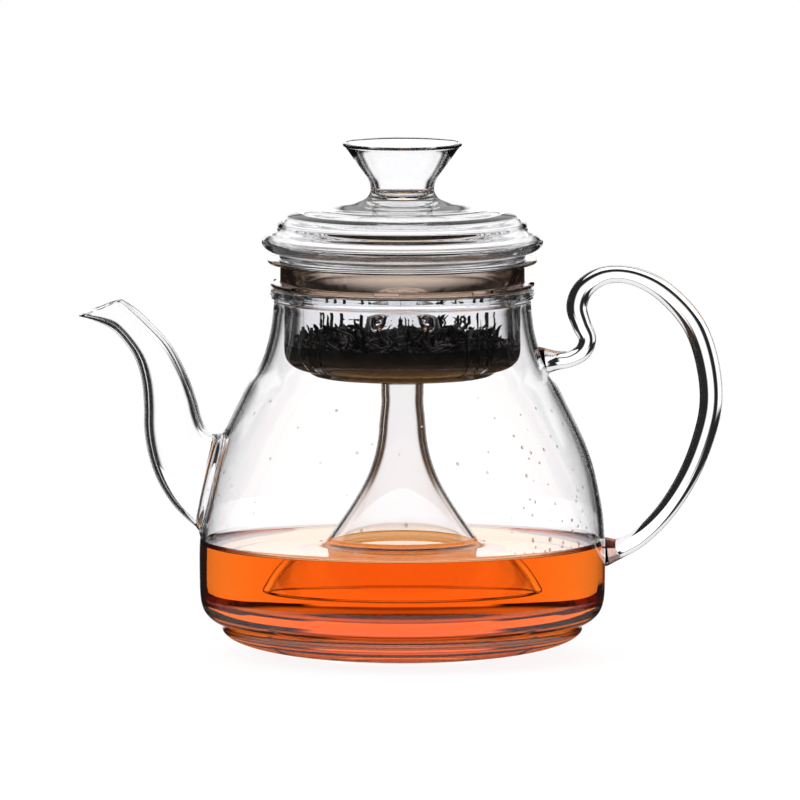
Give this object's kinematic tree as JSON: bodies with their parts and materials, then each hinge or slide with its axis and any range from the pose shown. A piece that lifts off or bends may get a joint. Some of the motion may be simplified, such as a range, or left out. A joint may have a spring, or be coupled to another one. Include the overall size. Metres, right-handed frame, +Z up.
{
  "type": "glass teapot",
  "caption": "Clear glass steaming teapot with a curved spout, a looped rod handle, a lift-out steam infuser with a flared bell, a seal ring and a domed lid with a trumpet knob.",
  "frame": {"origin": "centre of the base's flat rest face, on the pot's axis", "axes": "+Z up along the pot's axis, -X towards the spout, +X towards the handle, -Y towards the viewer"},
  "size_m": [0.2145, 0.1356, 0.1715],
  "materials": {
    "borosilicate_glass": "clear, fire polished",
    "silicone": "translucent smoke brown, satin"
  },
  "bodies": {
    "pot": {"pot_foot": "borosilicate_glass", "pot_wall": "borosilicate_glass", "pot_neck": "borosilicate_glass", "spout_root": "borosilicate_glass", "spout_throat": "borosilicate_glass", "spout_mouth": "borosilicate_glass", "handle": "borosilicate_glass"},
    "ring": {"seal_ring": "silicone"},
    "infuser": {"basket_cup": "borosilicate_glass", "basket_floor": "borosilicate_glass", "steam_riser": "borosilicate_glass", "steam_bell": "borosilicate_glass"},
    "lid": {"lid_dome": "borosilicate_glass", "lid_skirt": "borosilicate_glass", "lid_knob": "borosilicate_glass"}
  },
  "joints": [
    {"name": "ring_lift", "type": "slide", "parent": "pot", "child": "ring", "axis": [0, 0, 1], "range_m": [0, 0.03]},
    {"name": "infuser_lift", "type": "slide", "parent": "ring", "child": "infuser", "axis": [0, 0, 1], "range_m": [0, 0.125]},
    {"name": "lid_lift", "type": "slide", "parent": "infuser", "child": "lid", "axis": [0, 0, 1], "range_m": [0, 0.05]}
  ]
}
